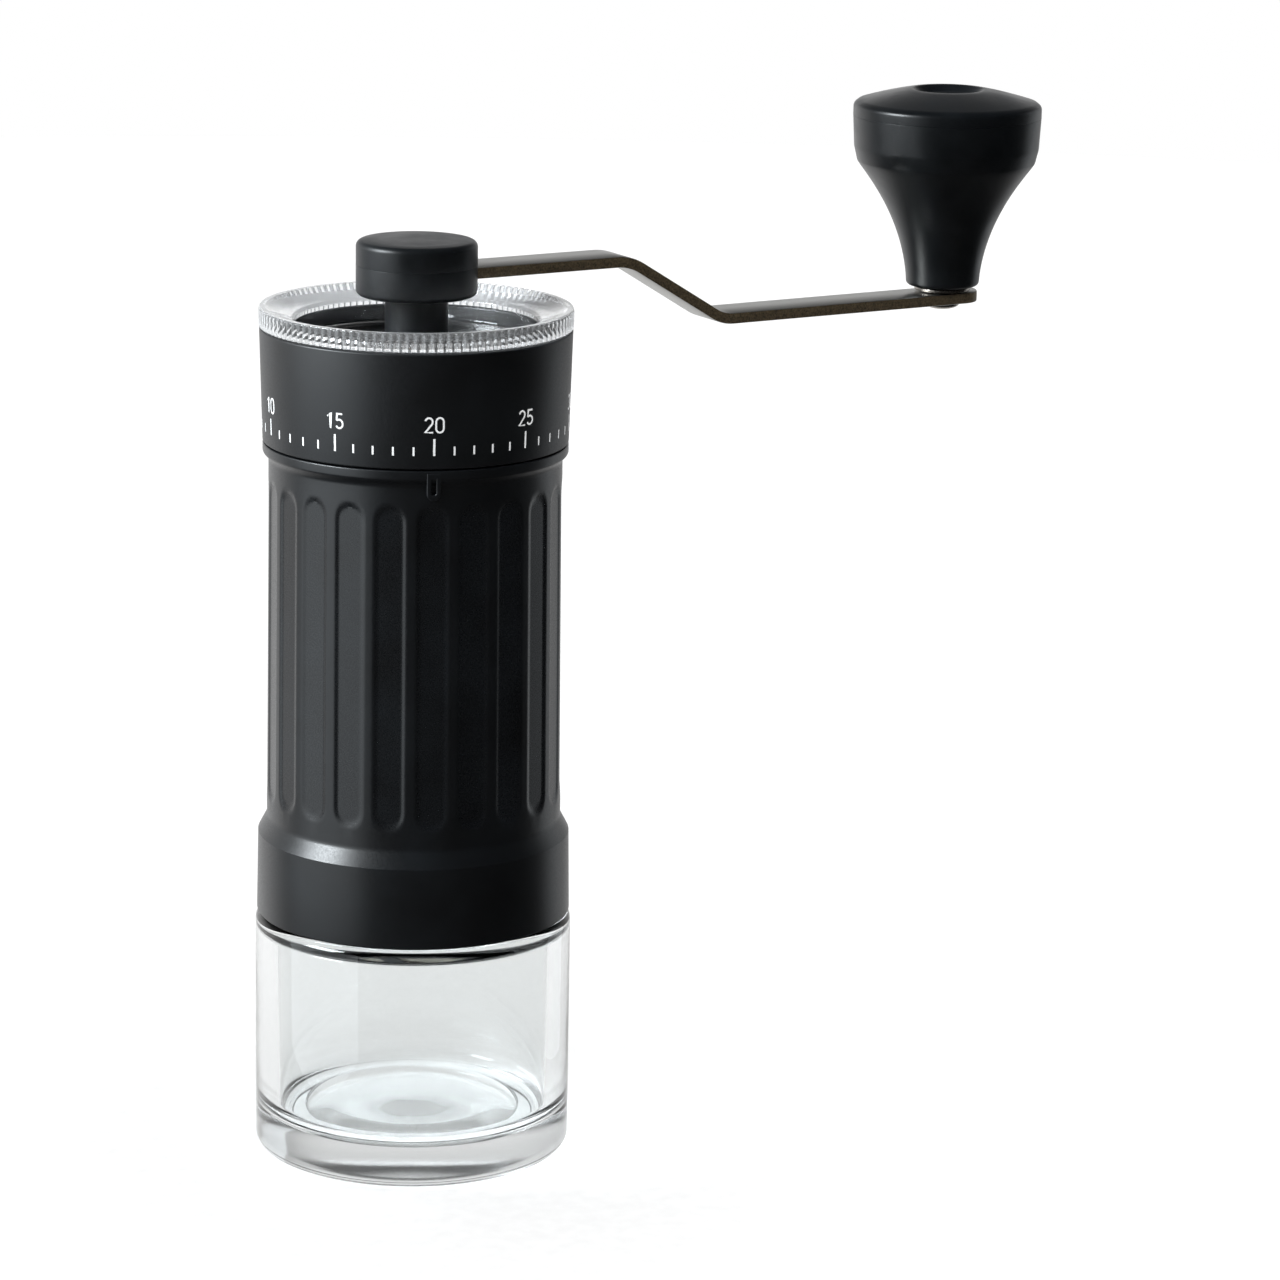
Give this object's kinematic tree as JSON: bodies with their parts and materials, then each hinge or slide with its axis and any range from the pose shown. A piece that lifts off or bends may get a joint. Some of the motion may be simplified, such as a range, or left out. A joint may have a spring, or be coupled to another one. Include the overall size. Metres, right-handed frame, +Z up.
{
  "type": "hand crank coffee grinder",
  "caption": "Tall round hand coffee grinder: clear jar, fluted body with conical burrs, numbered grind dial, clear lid, bent crank arm with a turning knob.",
  "frame": {"origin": "middle of the jar's flat foot, on the surface the grinder stands on", "axes": "+Z up along the crank shaft, -Y towards the index mark under the dial, crank rests 21 degrees from +X"},
  "size_m": [0.1711, 0.0983, 0.2142],
  "materials": {
    "glass": "clear pressed soda glass",
    "body_black": "satin black anodised aluminium, bead blasted",
    "dial_black": "satin black anodised aluminium with white printed scale",
    "clear_plastic": "clear moulded plastic",
    "black_plastic": "matte black moulded plastic",
    "grey_plastic": "moulded glass-filled nylon",
    "steel": "satin stainless steel",
    "spring_steel": "drawn spring steel",
    "bronze": "sintered bronze",
    "ceramic": "ground ceramic",
    "silicone": "matte silicone"
  },
  "bodies": {
    "jar": {"glass_jar": "glass"},
    "seal": {"jar_gasket": "silicone"},
    "body": {"housing": "body_black", "dial_snap_ring": "spring_steel", "detent_leaf": "spring_steel", "hopper_funnel": "black_plastic", "burr_holder": "grey_plastic", "outer_burr": "ceramic", "burr_frame": "grey_plastic", "lower_bush": "bronze", "burr_screw_1": "steel", "burr_screw_2": "steel", "burr_screw_3": "steel", "thrust_washer": "steel"},
    "dial": {"dial_ring": "dial_black"},
    "lid": {"clear_lid": "clear_plastic"},
    "carrier": {"bearing_carrier": "black_plastic", "upper_bush": "bronze"},
    "shaft": {"drive_shaft": "steel", "inner_burr": "ceramic", "burr_spring": "spring_steel", "shaft_clip": "spring_steel", "shaft_end_clip": "spring_steel"},
    "crank": {"crank_hub": "black_plastic", "hub_cap": "black_plastic", "hub_screw": "steel", "crank_arm": "steel", "knob_pin": "steel", "knob_washer": "steel", "knob_clip": "spring_steel"},
    "knob": {"knob_body": "black_plastic", "knob_cap": "black_plastic"}
  },
  "joints": [
    {"name": "body_lift", "type": "slide", "parent": "jar", "child": "seal", "axis": [0, 0, 1], "range_m": [0, 0.0045]},
    {"name": "body_unscrew", "type": "hinge", "parent": "seal", "child": "body", "pos_m": [0, 0, 0.056], "axis": [0, 0, 1], "range_deg": [0, 540]},
    {"name": "dial_turn", "type": "hinge", "parent": "body", "child": "dial", "pos_m": [0, 0, 0.16], "axis": [0, 0, 1], "range_deg": [-150, 150]},
    {"name": "lid_lift", "type": "slide", "parent": "dial", "child": "lid", "axis": [0, 0, 1], "range_m": [0, 0.03]},
    {"name": "burr_adjust", "type": "slide", "parent": "body", "child": "carrier", "axis": [0, 0, 1], "range_m": [-0.00063, 0.00063], "deforming": ["burr_spring"]},
    {"name": "crank_turn", "type": "hinge", "parent": "carrier", "child": "shaft", "pos_m": [0, 0, 0.16], "axis": [0, 0, 1], "continuous": true},
    {"name": "crank_pull", "type": "slide", "parent": "shaft", "child": "crank", "axis": [0, 0, 1], "range_m": [0, 0.06]},
    {"name": "knob_spin", "type": "hinge", "parent": "crank", "child": "knob", "pos_m": [0.11849, 0.04572, 0.19], "axis": [0, 0, 1], "continuous": true}
  ],
  "couplings": [
    {"joint": "body_lift", "follows": "body_unscrew", "m_per_rad": 0.00047746},
    {"joint": "burr_adjust", "follows": "dial_turn", "m_per_rad": 0.00023873},
    {"joint": "lid_lift", "follows": "crank_pull", "ratio": 0.5}
  ]
}
